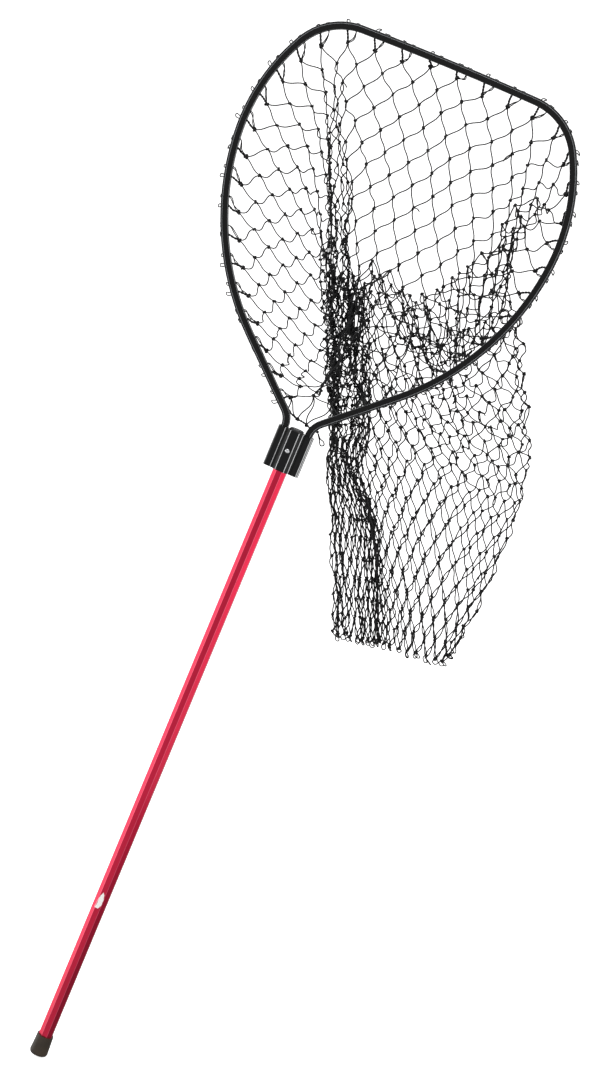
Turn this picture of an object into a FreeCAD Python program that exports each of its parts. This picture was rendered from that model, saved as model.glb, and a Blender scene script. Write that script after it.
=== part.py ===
import FreeCAD, Part
import math
import os

import Sketcher
from FreeCAD import Placement, Rotation, Vector

# A landing net: a red octagonal aluminium handle runs through an extruded yoke, which grips both
# legs of a black aluminium hoop, and a knotted bag hangs from the hoop. A sprung button locks the
# yoke at the top of the handle. With the button pressed, the hoop slides down the handle to stow.
#
# Every sub-part is drawn in the handle's own frame: the handle stands along +Z from the middle of
# the cap's end face, the hoop lies in the XZ plane, and -Y is the side that a fish goes in at.
# One placement then leans the whole net back and over to the side, the way it is held up, so that
# its bag hangs clear of the hoop.

doc = FreeCAD.newDocument("LandingNet")
sheet = doc.addObject("Spreadsheet::Sheet", "Dimensions")

DIMENSIONS = [
    # how the net is held
    ("roll_angle", 21.0, "lean of the handle to the side"),
    ("lean_angle", 10.0, "lean of the hoop backwards"),
    # handle
    ("handle_length", 1219.0, "cap's end face to the plug's top"),
    ("handle_flats", 24.0, "octagon, across its flats"),
    ("handle_wall", 1.5, "wall of the tube"),
    ("cap_length", 38.0, "length of the butt cap"),
    ("cap_floor", 4.0, "thickness of the cap's end"),
    ("cap_rim_radius", 14.9, "outer radius at the cap's rim"),
    ("cap_end_radius", 16.6, "outer radius near the cap's end"),
    ("cap_edge_radius", 4.0, "rounding of the cap's end edge"),
    ("plug_flange", 4.0, "thickness of the top plug's flange"),
    ("plug_stem", 22.0, "length of the plug inside the tube"),
    ("plug_chamfer", 1.2, "chamfer round the plug's top"),
    ("plug_slack", 0.05, "gap between the stem and the tube's inner flats"),
    ("label_foot", 299.0, "height of the blank label's lower edge"),
    ("label_height", 32.0, "length of the blank label"),
    ("label_width", 8.6, "width of the blank label"),
    ("label_thickness", 0.2, "thickness of the blank label"),
    # yoke
    ("yoke_top", 1215.0, "height of the yoke's upper end"),
    ("yoke_length", 72.0, "length of the yoke"),
    ("yoke_half_width", 31.9, "half of the yoke's width"),
    ("lobe_half_flat", 7.8, "half of the middle lobe's front flat"),
    ("lobe_half_depth", 15.5, "half of the middle lobe's depth"),
    ("shoulder", 14.3, "where the middle lobe meets the side lobes"),
    ("side_half_depth", 9.0, "half of a side lobe's depth"),
    ("lip", 28.5, "where a side lobe's corner starts"),
    ("lip_half_depth", 5.0, "half of the side face's depth"),
    ("crease", 18.5, "place of the fine crease along a side lobe"),
    ("crease_size", 0.5, "depth and half width of that crease"),
    ("bore_slack", 0.35, "gap between the handle's flats and the yoke's bore"),
    ("channel_slack", 0.2, "gap between a hoop leg and its channel"),
    # hoop
    ("rail_width", 13.0, "rail, in the hoop's plane"),
    ("rail_depth", 11.0, "rail, across the hoop's plane"),
    ("rail_corner", 1.6, "rounding of the rail's corners"),
    ("groove_width", 4.6, "groove round the hoop's outside"),
    ("groove_depth", 4.4, "depth of that groove"),
    ("keyline_inset", 3.2, "fine line on the rail's faces, in from its outer edge"),
    ("keyline_size", 0.4, "depth and half width of that line"),
    ("leg_offset", 22.0, "middle of a leg from the handle's axis"),
    ("leg_foot", 4.0, "end of a leg above the yoke's lower end"),
    ("leg_rise", 1.0, "straight leg above the yoke"),
    ("flare_radius", 36.0, "bend where a leg leaves the yoke"),
    ("flare_angle", 48.0, "turn of that bend"),
    ("flank_length", 139.0, "straight flank above that bend"),
    ("side_radius", 445.0, "long bend of the hoop's side"),
    ("side_angle", 44.0, "turn of that bend"),
    ("upper_radius", 325.0, "bend above it"),
    ("upper_angle", 33.0, "turn of that bend"),
    ("corner_radius", 105.0, "corner into the front bar"),
    ("corner_angle", 59.5, "turn of that corner"),
    ("knots_round_rim", 38, "hanging points round the hoop"),
    ("hole_radius", 1.6, "holes that the hanging twine goes through"),
    ("hole_pitch", 16.0, "between the two holes of a hanging point"),
    ("cord_radius", 1.6, "retaining cord in the hoop's groove"),
    # fasteners
    ("screw_radius", 1.9, "leg screws' shank"),
    ("screw_length", 13.0, "leg screws' shank below the head"),
    ("screw_head_radius", 3.7, "leg screws' head"),
    ("screw_head_height", 2.4, "leg screws' head"),
    ("screw_slot_width", 0.9, "cross recess in the head"),
    ("screw_slot_length", 4.4, "cross recess in the head"),
    ("screw_slot_depth", 1.3, "cross recess in the head"),
    ("screw_inset", 16.0, "screws from the yoke's ends"),
    ("screw_slack", 0.05, "gap round a shank"),
    # snap button
    ("button_height", 1180.0, "snap button's height on the handle"),
    ("button_radius", 3.7, "snap button"),
    ("button_proud", 1.6, "how far it stands out of the yoke"),
    ("button_edge", 1.0, "bevel round the button's face"),
    ("button_dimple_radius", 1.4, "dimple in the button's face"),
    ("button_dimple_depth", 1.2, "depth of that dimple"),
    ("button_slack", 0.2, "gap round the button in its holes"),
    ("leaf_thickness", 0.6, "leaf spring inside the tube"),
    ("leaf_width", 7.0, "leaf spring inside the tube"),
    ("leaf_gap", 0.1, "gap between the leaf and the tube's inner flats"),
    ("leaf_tip", 8.0, "leaf above the button's middle"),
    ("leaf_knee", 12.0, "straight leaf below the button's middle"),
    ("leaf_drop", 52.0, "bottom of the leaf below the button's middle"),
    # bag
    ("bag_gap", 14.5, "bag's mouth behind the hoop's middle plane"),
    ("bag_wall", 3.0, "thickness of the bag's solid"),
    ("bag_back", 341.0, "depth of the bag's back sheet, measured level"),
    ("bag_front", 276.0, "depth of the bag's front sheet at its foot, measured level"),
    ("bag_leaves_rim", 1518.0, "where the bag's outline leaves the hoop's right side"),
    ("bag_least_side", 20.0, "shortest side of the bag's outline"),
    ("bag_foot_across", 291.0, "middle of the bag's foot"),
    ("bag_foot_height", 903.0, "middle of the bag's foot"),
]
for row, (word, value, meaning) in enumerate(DIMENSIONS, start=1):
    sheet.set(f"A{row}", meaning)
    sheet.set(f"B{row}", str(value))
    sheet.setAlias(f"B{row}", word)
doc.recompute()

OCTAGON_TURN = 22.5  # brings an octagon's flats round to face X and Y
ROUNDED_SHARE = 0.29  # how far in the middle of a quarter round lies, as a share of its radius


def size(word):
    """A driving dimension, as a number."""
    return float(sheet.get(word))


def bind(thing, settings):
    """Ties an object's properties to the sheet. D. stands for the sheet's name."""
    for prop, expression in settings.items():
        thing.setExpression(prop, expression.replace("D.", "Dimensions."))


def combine(kind, name, base, tool):
    """A boolean of two objects: Part::Cut or Part::Fuse."""
    result = doc.addObject(kind, name)
    result.Base = base
    result.Tool = tool
    return result


def octagon_bar(name, flats, length, foot):
    """An octagonal bar along Z with its flats facing X and Y."""
    bar = doc.addObject("Part::Prism", name)
    bar.Polygon = 8
    bar.Placement = Placement(Vector(), Rotation(Vector(0, 0, 1), OCTAGON_TURN))
    bind(bar, {
        "Circumradius": f"({flats}) / 2 / cos({OCTAGON_TURN})",
        "Height": length,
        "Placement.Base.z": foot,
    })
    return bar


def cross_pin(name, radius, length, across, start, height):
    """A round pin along +Y, from depth start, at a place across the handle and up it."""
    pin = doc.addObject("Part::Cylinder", name)
    pin.Placement = Placement(Vector(), Rotation(Vector(1, 0, 0), -90))
    bind(pin, {
        "Radius": radius,
        "Height": length,
        "Placement.Base.x": across,
        "Placement.Base.y": start,
        "Placement.Base.z": height,
    })
    return pin


def closed_outline(sketch, corners):
    """Adds a closed outline to a sketch: each corner is a pair of expressions."""
    first = sketch.GeometryCount
    count = len(corners)
    for i in range(count):
        turn = 2 * math.pi * i / count
        after = 2 * math.pi * (i + 1) / count
        a = Vector(math.cos(turn), math.sin(turn), 0)
        b = Vector(math.cos(after), math.sin(after), 0)
        sketch.addGeometry(Part.LineSegment(a, b), False)
    for i in range(count):
        following = first + (i + 1) % count
        sketch.addConstraint(Sketcher.Constraint("Coincident", first + i, 2, following, 1))
    for i, corner in enumerate(corners):
        for direction, expression in zip(("DistanceX", "DistanceY"), corner):
            rule = sketch.addConstraint(Sketcher.Constraint(direction, -1, 1, first + i, 1, 1.0))
            bind(sketch, {f"Constraints[{rule}]": expression})


def sketch_on(body, name, plane):
    """An empty sketch on one of the body's own origin planes."""
    sketch = body.newObject("Sketcher::SketchObject", name)
    origin_plane = [f for f in body.Origin.OriginFeatures if f.Role == plane][0]
    sketch.AttachmentSupport = [(origin_plane, "")]
    sketch.MapMode = "FlatFace"
    return sketch


def turned_body(name, corners):
    """A body turned about Z, from an outline of radius and height in the XZ plane."""
    body = doc.addObject("PartDesign::Body", name)
    sketch = sketch_on(body, name + "Outline", "XZ_Plane")
    closed_outline(sketch, corners)
    turned = body.newObject("PartDesign::Revolution", name + "Turned")
    turned.Profile = sketch
    turned.ReferenceAxis = (sketch, ["V_Axis"])
    turned.Angle = 360
    return body


def handle_tube():
    """Anodised octagonal tube, with a round hole in its front flat for the snap button."""
    length = "D.handle_length - D.cap_floor - D.plug_flange"
    outside = octagon_bar("TubeOutside", "D.handle_flats", length, "D.cap_floor")
    inside = octagon_bar("TubeInside", "D.handle_flats - 2 * D.handle_wall", length, "D.cap_floor")
    wall = combine("Part::Cut", "TubeWall", outside, inside)
    hole = cross_pin("TubeHole", "D.button_radius + D.button_slack", "D.handle_wall * 2",
                     "0", "-D.handle_flats / 2 - D.handle_wall / 2", "D.button_height")
    return combine("Part::Cut", "handle_tube", wall, hole)


def butt_cap():
    """Soft vinyl cap pushed over the tube's lower end: it widens a little towards its end."""
    outside = turned_body("CapOutside", [
        ("0", "0"),
        ("D.cap_end_radius - D.cap_edge_radius", "0"),
        (f"D.cap_end_radius - D.cap_edge_radius * {ROUNDED_SHARE}",
         f"D.cap_edge_radius * {ROUNDED_SHARE}"),
        ("D.cap_end_radius", "D.cap_edge_radius"),
        ("D.cap_rim_radius", "D.cap_length"),
        ("0", "D.cap_length"),
    ])
    socket = octagon_bar("CapSocket", "D.handle_flats", "D.cap_length", "D.cap_floor")
    return combine("Part::Cut", "butt_cap", outside, socket)


def top_plug():
    """Moulded plug in the tube's upper end: a chamfered flange and a stem inside the tube."""
    flange = octagon_bar("PlugFlange", "D.handle_flats", "D.plug_flange",
                         "D.handle_length - D.plug_flange")
    doc.recompute()
    top = flange.Shape.BoundBox.ZMax
    rounded = doc.addObject("Part::Chamfer", "PlugTop")
    rounded.Base = flange
    edges = []
    for number, edge in enumerate(flange.Shape.Edges, start=1):
        if edge.BoundBox.ZMin > top - 1e-6:
            edges.append((number, size("plug_chamfer"), size("plug_chamfer")))
    rounded.Edges = edges
    stem = octagon_bar("PlugStem", "D.handle_flats - 2 * D.handle_wall - 2 * D.plug_slack",
                       "D.plug_stem", "D.handle_length - D.plug_flange - D.plug_stem")
    return combine("Part::Fuse", "top_plug", rounded, stem)


def handle_label():
    """A plain blank label stuck on the front flat."""
    label = doc.addObject("Part::Box", "handle_label")
    bind(label, {
        "Length": "D.label_width",
        "Width": "D.label_thickness",
        "Height": "D.label_height",
    })
    reach = size("handle_flats") / 2 + size("label_thickness")
    corner = Vector(-size("label_width") / 2, -reach, size("label_foot"))
    return label, Placement(corner, Rotation())


def yoke():
    """Black extruded yoke: an octagonal bore for the handle between two channels for the legs."""
    body = doc.addObject("PartDesign::Body", "YokeBlock")
    sketch = sketch_on(body, "YokeSection", "XY_Plane")
    quarter = [
        ("D.lobe_half_flat", "D.lobe_half_depth"),
        ("D.shoulder", "D.side_half_depth"),
        ("D.crease - D.crease_size", "D.side_half_depth"),
        ("D.crease", "D.side_half_depth - D.crease_size"),
        ("D.crease + D.crease_size", "D.side_half_depth"),
        ("D.lip", "D.side_half_depth"),
        ("D.yoke_half_width", "D.lip_half_depth"),
    ]
    mirrored = quarter[::-1]
    outline = [(f"{x}", f"{y}") for x, y in quarter]
    outline += [(f"{x}", f"-({y})") for x, y in mirrored]
    outline += [(f"-({x})", f"-({y})") for x, y in quarter]
    outline += [(f"-({x})", f"{y}") for x, y in mirrored]
    closed_outline(sketch, outline)
    flat = "(D.handle_flats / 2 + D.bore_slack)"
    side = f"({flat} * tan({OCTAGON_TURN}))"
    closed_outline(sketch, [
        (flat, side), (side, flat), (f"-{side}", flat), (f"-{flat}", side),
        (f"-{flat}", f"-{side}"), (f"-{side}", f"-{flat}"), (side, f"-{flat}"), (flat, f"-{side}"),
    ])
    half_width = "(D.rail_width / 2 + D.channel_slack)"
    half_depth = "(D.rail_depth / 2 + D.channel_slack)"
    for sign in ("", "-"):
        inner = f"{sign}(D.leg_offset - {half_width})"
        outer = f"{sign}(D.leg_offset + {half_width})"
        closed_outline(sketch, [
            (inner, f"-{half_depth}"), (outer, f"-{half_depth}"),
            (outer, half_depth), (inner, half_depth),
        ])
    pad = body.newObject("PartDesign::Pad", "YokeExtrusion")
    pad.Profile = sketch
    bind(pad, {"Length": "D.yoke_length"})
    bind(sketch, {"AttachmentOffset.Base.z": "D.yoke_top - D.yoke_length"})
    button_hole = cross_pin("YokeButtonHole", "D.button_radius + D.button_slack",
                            "D.lobe_half_depth - D.handle_flats / 2 + 2",
                            "0", "-D.lobe_half_depth - 1", "D.button_height")
    block = combine("Part::Cut", "YokeWithHole", body, button_hole)
    holes = doc.addObject("Part::MultiFuse", "YokeScrewHoles")
    holes.Shapes = [
        cross_pin(f"YokeScrewHole{i}", "D.screw_radius + D.screw_slack", "D.side_half_depth",
                  across, "0", height)
        for i, (across, height) in enumerate(screw_places())
    ]
    return combine("Part::Cut", "yoke", block, holes)


def screw_places():
    """Where the four leg screws go: two in each leg, from the back."""
    low = "D.yoke_top - D.yoke_length + D.screw_inset"
    high = "D.yoke_top - D.screw_inset"
    return [(f"{sign}D.leg_offset", height) for sign in ("-", "") for height in (low, high)]


def half_track(offset):
    """One side of the hoop, from a leg's foot to the middle of the front bar.

    The track is the rail's middle line moved outwards by offset. It is a list of edges in the
    hoop's plane: straight, flare, straight flank, side, upper side, corner and front bar.
    """
    place = Vector(size("leg_offset"), 0, size("yoke_top") - size("yoke_length") + size("leg_foot"))
    heading = 0.0  # degrees from +Z, outwards
    edges = []

    def outwards(degrees):
        angle = math.radians(degrees)
        return Vector(math.cos(angle), 0, -math.sin(angle))

    def along(degrees):
        angle = math.radians(degrees)
        return Vector(math.sin(angle), 0, math.cos(angle))

    def straight(length):
        nonlocal place
        end = place + along(heading) * length
        shift = outwards(heading) * offset
        edges.append(Part.LineSegment(place + shift, end + shift).toShape())
        place = end

    def bend(radius, turn):
        """Turns outwards by turn degrees, or inwards where turn is negative."""
        nonlocal place, heading
        side = math.copysign(1, turn)
        centre = place + outwards(heading) * radius * side
        points = []
        for share in (0, 0.5, 1):
            direction = heading + turn * share
            on_track = centre - outwards(direction) * radius * side
            points.append(on_track + outwards(direction) * offset)
        edges.append(Part.Arc(*points).toShape())
        heading += turn
        place = centre - outwards(heading) * radius * side

    straight(size("yoke_length") - size("leg_foot") + size("leg_rise"))
    bend(size("flare_radius"), size("flare_angle"))
    straight(size("flank_length"))
    bend(size("side_radius"), -size("side_angle"))
    bend(size("upper_radius"), -size("upper_angle"))
    bend(size("corner_radius"), -size("corner_angle"))
    bar_radius = place.x / math.cos(math.radians(heading))
    bend(bar_radius, -90 - heading)
    return edges


def hoop_track(offset):
    """The whole track, from the right leg's foot round the hoop to the left leg's foot."""
    right = half_track(offset)
    left = [edge.mirror(Vector(), Vector(1, 0, 0)) for edge in reversed(right)]
    return Part.Wire(right + left)


def rim_edges():
    """The right half of the hoop above its flare, and the left half's mirror image of it."""
    right = half_track(0)[2:]
    return right, [edge.mirror(Vector(), Vector(1, 0, 0)) for edge in right]


def swept_round(track, profile):
    """A section carried along a track in the hoop's plane, without twisting."""
    sweep = Part.BRepOffsetAPI.MakePipeShell(track)
    sweep.setBiNormalMode(Vector(0, 1, 0))
    sweep.add(profile, False, False)
    sweep.build()
    sweep.makeSolid()
    return sweep.shape()


def rail_section(foot):
    """The rail's section at the right leg's foot: +X is the hoop's outside."""
    half_width = size("rail_width") / 2
    half_depth = size("rail_depth") / 2
    corner = size("rail_corner")
    bevel = corner * (1 - math.sqrt(0.5))  # how far in a rounded corner's middle lies
    groove = size("groove_width") / 2
    floor = half_width - size("groove_depth")
    line = half_width - size("keyline_inset")
    fine = size("keyline_size")

    def at(x, y):
        return foot + Vector(x, y, 0)

    def run(a, b):
        return Part.LineSegment(at(*a), at(*b)).toShape()

    def rounded(a, middle, b):
        return Part.Arc(at(*a), at(*middle), at(*b)).toShape()

    edges = [
        run((half_width, -groove), (floor, -groove)),
        run((floor, -groove), (floor, groove)),
        run((floor, groove), (half_width, groove)),
        run((half_width, groove), (half_width, half_depth - corner)),
        rounded((half_width, half_depth - corner), (half_width - bevel, half_depth - bevel),
                (half_width - corner, half_depth)),
        run((half_width - corner, half_depth), (line + fine, half_depth)),
        run((line + fine, half_depth), (line, half_depth - fine)),
        run((line, half_depth - fine), (line - fine, half_depth)),
        run((line - fine, half_depth), (corner - half_width, half_depth)),
        rounded((corner - half_width, half_depth), (bevel - half_width, half_depth - bevel),
                (-half_width, half_depth - corner)),
        run((-half_width, half_depth - corner), (-half_width, corner - half_depth)),
        rounded((-half_width, corner - half_depth), (bevel - half_width, bevel - half_depth),
                (corner - half_width, -half_depth)),
        run((corner - half_width, -half_depth), (line - fine, -half_depth)),
        run((line - fine, -half_depth), (line, fine - half_depth)),
        run((line, fine - half_depth), (line + fine, -half_depth)),
        run((line + fine, -half_depth), (half_width - corner, -half_depth)),
        rounded((half_width - corner, -half_depth), (half_width - bevel, bevel - half_depth),
                (half_width, corner - half_depth)),
        run((half_width, corner - half_depth), (half_width, -groove)),
    ]
    return Part.Wire(edges)


def rim_places():
    """Even places round the hoop above its flares, as pairs of a point and its outward way."""
    right, left = rim_edges()
    rim = Part.Wire(right + left[::-1])
    knots = int(size("knots_round_rim"))
    pitch = rim.Length / knots
    places = []
    for knot in range(knots):
        for side in (-0.5, 0.5):
            distance = (knot + 0.5) * pitch + side * size("hole_pitch")
            places.append(place_along(rim.OrderedEdges, distance))
    return places


def place_along(edges, distance):
    """The point at a distance along the edges, and the way out of the hoop there."""
    for edge in edges:
        if distance <= edge.Length:
            break
        distance -= edge.Length
    parameter = edge.getParameterByLength(distance)
    if edge.Orientation == "Reversed":
        parameter = edge.getParameterByLength(edge.Length - distance)
    way = edge.tangentAt(parameter)
    outwards = Vector(way.z, 0, -way.x)
    point = edge.valueAt(parameter)
    middle = Vector(0, 0, size("yoke_top") + size("side_radius") * 0.9)
    if outwards.dot(point - middle) < 0:
        outwards = -outwards
    return point, outwards


def hoop_rail():
    """One bent aluminium rail, grooved round its outside and drilled for the hanging twine."""
    track = hoop_track(0)
    foot = track.OrderedVertexes[0].Point
    rail = swept_round(track, rail_section(foot))
    reach = size("rail_width")
    drills = []
    for point, outwards in rim_places():
        drills.append(Part.makeCylinder(size("hole_radius"), 2 * reach,
                                        point - outwards * reach, outwards))
    low = size("yoke_top") - size("yoke_length") + size("screw_inset")
    high = size("yoke_top") - size("screw_inset")
    for across in (-size("leg_offset"), size("leg_offset")):
        for height in (low, high):
            depth = size("screw_length") - size("side_half_depth") + size("screw_slack")
            drills.append(Part.makeCylinder(size("screw_radius") + size("screw_slack"),
                                            depth + size("rail_depth"),
                                            Vector(across, -depth, height), Vector(0, 1, 0)))
    part = doc.addObject("Part::Feature", "hoop_rail")
    part.Shape = rail.cut(drills)
    return part


def retaining_cord():
    """Cord lying in the rail's outer groove, which the hanging loops are threaded over."""
    rest = size("rail_width") / 2 - size("groove_depth") + size("cord_radius") + 0.1
    track = hoop_track(rest)
    foot = track.OrderedVertexes[0].Point
    ring = Part.makeCircle(size("cord_radius"), foot, Vector(0, 0, 1))
    part = doc.addObject("Part::Feature", "retaining_cord")
    part.Shape = swept_round(track, Part.Wire([ring]))
    return part


def leg_screw(number, across, height):
    """Pan-head screw through the yoke's back wall into a hoop leg, with a cross recess."""
    shank = cross_pin(f"ScrewShank{number}", "D.screw_radius", "D.screw_length",
                      across, "D.side_half_depth - D.screw_length", height)
    head = cross_pin(f"ScrewHead{number}", "D.screw_head_radius", "D.screw_head_height",
                     across, "D.side_half_depth", height)
    whole = combine("Part::Fuse", f"ScrewWhole{number}", head, shank)
    recess_depth = "D.side_half_depth + D.screw_head_height - D.screw_slot_depth"
    slots = []
    for name, long_way, short_way in (("Level", "Length", "Height"), ("Upright", "Height", "Length")):
        slot = doc.addObject("Part::Box", f"Screw{name}Slot{number}")
        bind(slot, {
            long_way: "D.screw_slot_length",
            short_way: "D.screw_slot_width",
            "Width": "D.screw_slot_depth + 1",
            "Placement.Base.y": recess_depth,
        })
        along_x = "D.screw_slot_length" if long_way == "Length" else "D.screw_slot_width"
        along_z = "D.screw_slot_length" if long_way == "Height" else "D.screw_slot_width"
        bind(slot, {
            "Placement.Base.x": f"{across} - {along_x} / 2",
            "Placement.Base.z": f"{height} - {along_z} / 2",
        })
        slots.append(slot)
    recess = combine("Part::Fuse", f"ScrewRecess{number}", *slots)
    return combine("Part::Cut", f"leg_screw_{number}", whole, recess)


def snap_button():
    """Plated button with a bevelled face and a dimple, riding on the leaf spring."""
    root = "-(D.handle_flats / 2 - D.handle_wall - D.leaf_gap - D.leaf_thickness)"
    face = "-(D.lobe_half_depth + D.button_proud)"
    body = doc.addObject("PartDesign::Body", "ButtonTurned")
    sketch = sketch_on(body, "ButtonOutline", "XY_Plane")
    root = f"({root} - D.leaf_thickness)"
    closed_outline(sketch, [
        ("0", root),
        ("D.button_radius", root),
        ("D.button_radius", f"{face} + D.button_edge"),
        ("D.button_radius - D.button_edge", face),
        ("D.button_dimple_radius", face),
        ("0", f"{face} + D.button_dimple_depth"),
    ])
    bind(sketch, {"AttachmentOffset.Base.z": "D.button_height"})
    turned = body.newObject("PartDesign::Revolution", "ButtonRevolution")
    turned.Profile = sketch
    turned.ReferenceAxis = (sketch, ["V_Axis"])
    turned.Angle = 360
    return body


def button_spring():
    """V-shaped leaf inside the tube: one arm carries the button, the other backs on the tube."""
    body = doc.addObject("PartDesign::Body", "LeafStrip")
    sketch = sketch_on(body, "LeafOutline", "YZ_Plane")
    outside = "(D.handle_flats / 2 - D.handle_wall - D.leaf_gap)"
    inside = f"({outside} - D.leaf_thickness)"
    tip = "(D.button_height + D.leaf_tip)"
    knee = "(D.button_height - D.leaf_knee)"
    bottom = "(D.button_height - D.leaf_drop)"
    closed_outline(sketch, [
        (f"-{outside}", tip),
        (f"-{outside}", knee),
        ("-D.leaf_thickness", bottom),
        ("D.leaf_thickness", bottom),
        (outside, knee),
        (outside, tip),
        (inside, tip),
        (inside, knee),
        ("0", f"{bottom} + 2 * D.leaf_thickness"),
        (f"-{inside}", knee),
        (f"-{inside}", tip),
    ])
    pad = body.newObject("PartDesign::Pad", "LeafWidth")
    pad.Profile = sketch
    pad.Midplane = True
    bind(pad, {"Length": "D.leaf_width"})
    return body


def half_space(point, normal):
    """A big block on the side of a plane that its normal points to."""
    reach = 4000.0
    block = Part.makeBox(reach, reach, reach, Vector(-reach / 2, -reach / 2, 0))
    block.Placement = Placement(point, Rotation(Vector(0, 0, 1), normal))
    return block


def upwards(edges):
    """Points up a run of the hoop's edges, four to an edge."""
    points = []
    for edge in edges:
        spread = edge.discretize(Number=4)
        points += spread if spread[0].z <= spread[-1].z else spread[::-1]
    return points


def bag_outline():
    """The bag seen square on: round the hoop, then down past its right side to the foot."""
    right, left = rim_edges()
    foot = Vector(size("bag_foot_across"), 0, size("bag_foot_height"))
    hanging = [foot + Vector(across, 0, height) for across, height in (
        (123, 370), (107, 245), (90, 146), (82, 54), (59, 11),
        (0, 0), (-93, -1), (-124, 35), (-161, 103), (-192, 188), (-249, 318),
    )]
    leaves_rim = size("bag_leaves_rim")
    down_right = [point for point in upwards(right)[::-1] if point.z > leaves_rim]
    corners = []
    for point in upwards(left) + down_right + hanging:
        if not corners or (point - corners[-1]).Length > size("bag_least_side"):
            corners.append(point)
    return Part.makePolygon(corners + corners[:1])


def net_bag():
    """Closed solid for the knotted bag: a thin-walled pouch, open at the hoop.

    It is bounded by the mouth's plane behind the hoop, by an upright back sheet that hangs from
    the front bar, and by a front sheet that hangs from the hoop's lower right side.
    """
    mouth = size("bag_gap")
    wall = size("bag_wall")
    area = Part.Face(bag_outline())
    lean = math.radians(size("lean_angle"))
    level = Vector(0, math.cos(lean), math.sin(lean))  # the level way back
    foot = Vector(size("bag_foot_across"), 0, size("bag_foot_height"))
    foot.y = (size("bag_front") - foot.z * math.sin(lean)) / math.cos(lean)
    right, _ = rim_edges()
    low_rim = right[0].discretize(Number=2)[0] + Vector(0, mouth, 0)
    high_rim = right[1].discretize(Number=3)[1] + Vector(0, mouth, 0)
    into_bag = (high_rim - low_rim).cross(foot - low_rim).normalize()
    if into_bag.y < 0:
        into_bag = -into_bag
    solids = []
    for sheet_area, start, inset in ((area, mouth, 0.0), (area.makeOffset2D(-wall), 0.0, wall)):
        prism = sheet_area.copy()
        prism.translate(Vector(0, start, 0))
        prism = prism.extrude(Vector(0, size("bag_back"), 0))
        prism = prism.common(half_space(level * (size("bag_back") - inset), -level))
        prism = prism.common(half_space(low_rim + into_bag * inset, into_bag))
        solids.append(prism)
    part = doc.addObject("Part::Feature", "net_bag")
    part.Shape = solids[0].cut(solids[1]).removeSplitter()
    return part


held = Placement(Vector(), Rotation(Vector(0, 1, 0), size("roll_angle"))
                 * Rotation(Vector(1, 0, 0), -size("lean_angle")))
label, label_place = handle_label()
subparts = {
    "handle_tube": handle_tube(),
    "butt_cap": butt_cap(),
    "top_plug": top_plug(),
    "handle_label": label,
    "yoke": yoke(),
    "hoop_rail": hoop_rail(),
    "retaining_cord": retaining_cord(),
    "snap_button": snap_button(),
    "button_spring": button_spring(),
    "net_bag": net_bag(),
}
for index, (side, height) in enumerate(screw_places(), start=1):
    subparts[f"leg_screw_{index}"] = leg_screw(index, side, height)
doc.recompute()

for node, part in subparts.items():
    part.Label = node
    part.Placement = held * (label_place if node == "handle_label" else Placement())
doc.recompute()

for thing in doc.Objects:
    if "Invalid" in thing.State or "Error" in thing.State:
        raise RuntimeError(f"{thing.Name} failed: {thing.State}")
for node, part in subparts.items():
    shape = part.Shape
    if shape.isNull() or not shape.isValid():
        raise RuntimeError(f"{node} is not a valid shape")
    box = shape.BoundBox
    print(f"{node:16s} solids {len(shape.Solids)} volume {shape.Volume:11.1f} "
          f"x {box.XMin:7.1f} {box.XMax:7.1f} y {box.YMin:7.1f} {box.YMax:7.1f} "
          f"z {box.ZMin:7.1f} {box.ZMax:7.1f}")

os.makedirs("parts", exist_ok=True)
for node, part in subparts.items():
    part.Shape.exportStep(f"parts/{node}.step")
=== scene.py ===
"""A landing net: red eight-sided handle, black yoke, bent hoop and a knotted bag."""
import math
import bpy
import numpy as np
from mathutils import Matrix, Vector


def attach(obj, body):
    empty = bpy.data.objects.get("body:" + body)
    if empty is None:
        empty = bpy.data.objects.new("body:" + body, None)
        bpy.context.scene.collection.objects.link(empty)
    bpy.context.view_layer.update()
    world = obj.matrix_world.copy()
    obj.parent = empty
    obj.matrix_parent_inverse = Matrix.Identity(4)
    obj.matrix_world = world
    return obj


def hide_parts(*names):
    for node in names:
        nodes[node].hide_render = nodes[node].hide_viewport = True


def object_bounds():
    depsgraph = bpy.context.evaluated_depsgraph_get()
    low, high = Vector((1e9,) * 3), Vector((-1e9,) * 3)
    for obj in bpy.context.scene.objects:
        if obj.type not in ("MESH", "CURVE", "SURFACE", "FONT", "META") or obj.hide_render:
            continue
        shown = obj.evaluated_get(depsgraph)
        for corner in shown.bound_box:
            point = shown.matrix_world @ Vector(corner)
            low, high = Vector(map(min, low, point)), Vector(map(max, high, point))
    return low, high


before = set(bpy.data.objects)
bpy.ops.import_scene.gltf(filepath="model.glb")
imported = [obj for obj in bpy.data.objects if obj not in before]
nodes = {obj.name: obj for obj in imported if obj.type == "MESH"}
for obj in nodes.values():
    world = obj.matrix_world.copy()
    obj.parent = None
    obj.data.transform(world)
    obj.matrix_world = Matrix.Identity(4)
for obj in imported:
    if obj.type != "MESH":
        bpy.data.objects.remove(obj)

cad_box = [[float(v) for v in corner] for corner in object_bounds()]
scene = bpy.context.scene

# ---------------------------------------------------------------- camera
# A long lens a little to the right of the net and above it, tipped down so that the
# whole hoop and the lower end of the handle fill an upright picture.
camera_data = bpy.data.cameras.new("camera")
camera_data.sensor_fit = "VERTICAL"
camera_data.sensor_height = 36.0
camera_data.lens = 70.77
camera_data.clip_end = 900.0
camera = bpy.data.objects.new("camera", camera_data)
camera.location = (1.19492, -3.19806, 1.97279)
camera.rotation_euler = (math.radians(73.313), 0.0, math.radians(12.417))
scene.collection.objects.link(camera)
scene.camera = camera

# ---------------------------------------------------------------- floor
# A plain white painted studio floor, wide enough to fill the picture behind the net and a hair
# below the butt cap. It is there for the lens only and isn't mirrored in the metal.


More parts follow.
